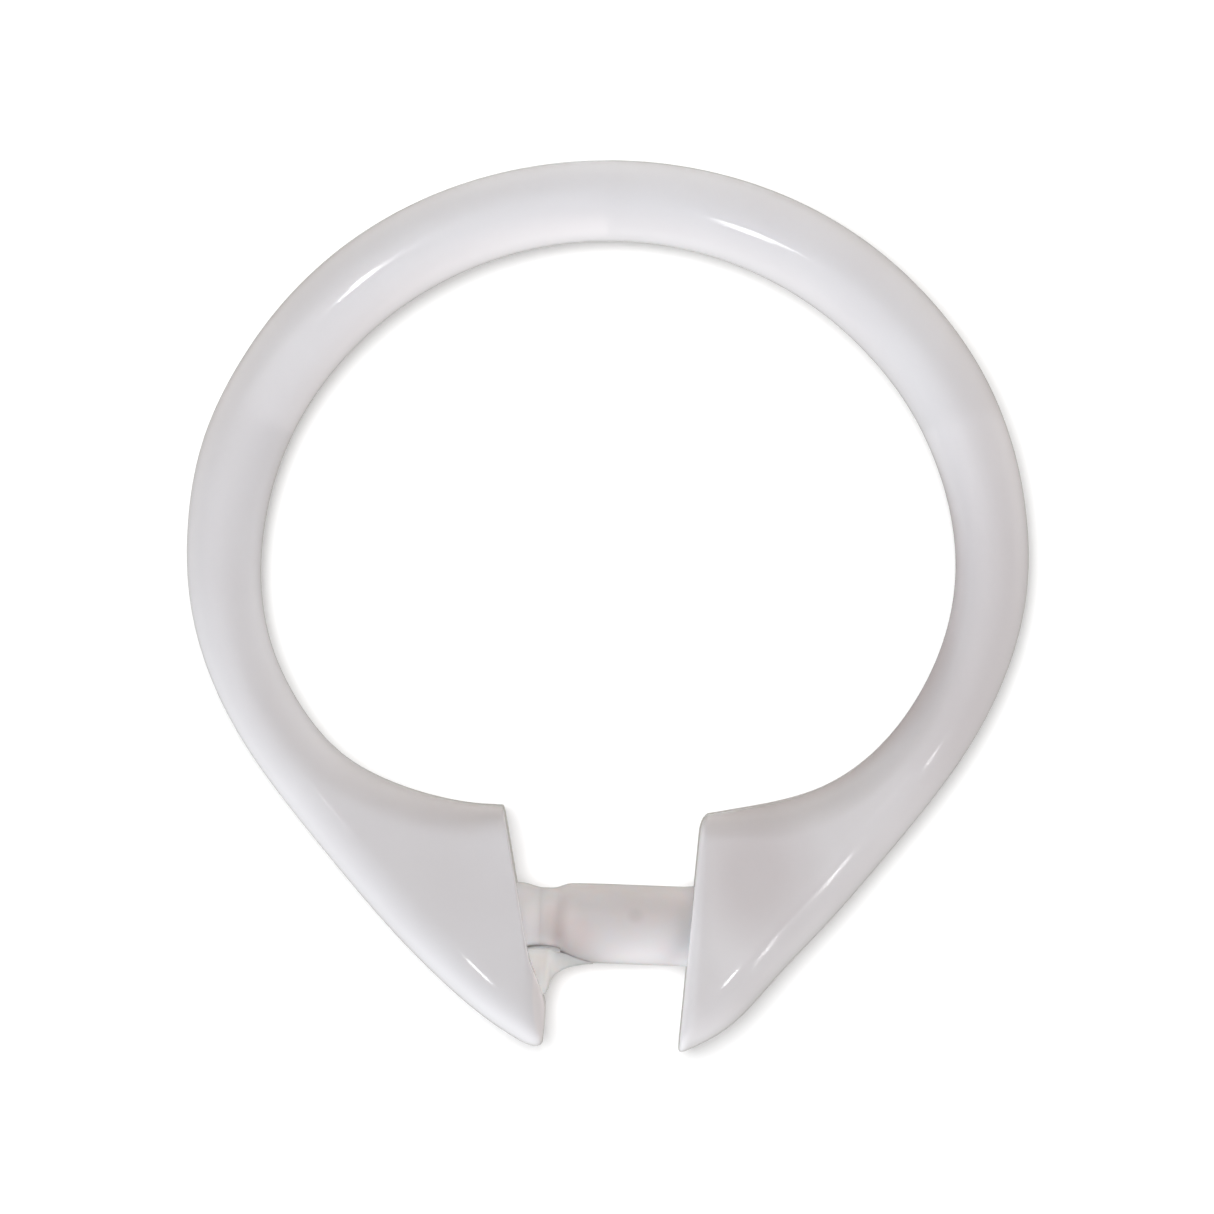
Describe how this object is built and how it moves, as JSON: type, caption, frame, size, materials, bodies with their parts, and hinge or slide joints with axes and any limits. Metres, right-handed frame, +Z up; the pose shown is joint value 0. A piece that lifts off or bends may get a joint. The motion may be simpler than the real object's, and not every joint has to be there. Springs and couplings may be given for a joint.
{
  "type": "snap-closing curtain ring",
  "caption": "Teardrop plastic curtain ring that flexes open: a latch pin on one flared horn snaps into a socket in the other and carries the curtain's eyelet.",
  "frame": {"origin": "centre of the bottom of the bounding box, with the ring lying flat", "axes": "+Y from the horns to the crown, +X from the socket horn to the pin horn, +Z up out of the ring's plane"},
  "size_m": [0.06, 0.0634, 0.0085],
  "materials": {
    "ring_plastic": "smooth glossy injection-moulded polyolefin, milky white and a little translucent"
  },
  "bodies": {
    "crown": {"crown": "ring_plastic"},
    "left_shoulder": {"left_shoulder": "ring_plastic"},
    "right_shoulder": {"right_shoulder": "ring_plastic"},
    "socket_side": {"left_arm": "ring_plastic", "socket_horn": "ring_plastic", "socket_lip": "ring_plastic", "catch_ridge": "ring_plastic"},
    "pin_side": {"right_arm": "ring_plastic", "pin_horn": "ring_plastic", "latch_pin": "ring_plastic", "pin_head": "ring_plastic"}
  },
  "joints": [
    {"name": "left_crown_flex", "type": "hinge", "parent": "crown", "child": "left_shoulder", "pos_m": [-0.01642, 0.02365, 0.00425], "axis": [0, 0, -1], "range_deg": [0, 15], "stiffness_Nm_per_rad": 1, "deforming": ["catch_ridge"]},
    {"name": "left_side_flex", "type": "hinge", "parent": "left_shoulder", "child": "socket_side", "pos_m": [-0.02738, 0.003, 0.00425], "axis": [0, 0, -1], "range_deg": [0, 12.75]},
    {"name": "right_crown_flex", "type": "hinge", "parent": "crown", "child": "right_shoulder", "pos_m": [0.01642, 0.02365, 0.00425], "axis": [0, 0, 1], "range_deg": [0, 10.5]},
    {"name": "right_side_flex", "type": "hinge", "parent": "right_shoulder", "child": "pin_side", "pos_m": [0.02738, 0.003, 0.00425], "axis": [0, 0, 1], "range_deg": [0, 7.5]}
  ],
  "couplings": [
    {"joint": "left_side_flex", "follows": "left_crown_flex", "ratio": 0.85},
    {"joint": "right_crown_flex", "follows": "left_crown_flex", "ratio": 0.7},
    {"joint": "right_side_flex", "follows": "left_crown_flex", "ratio": 0.5}
  ]
}
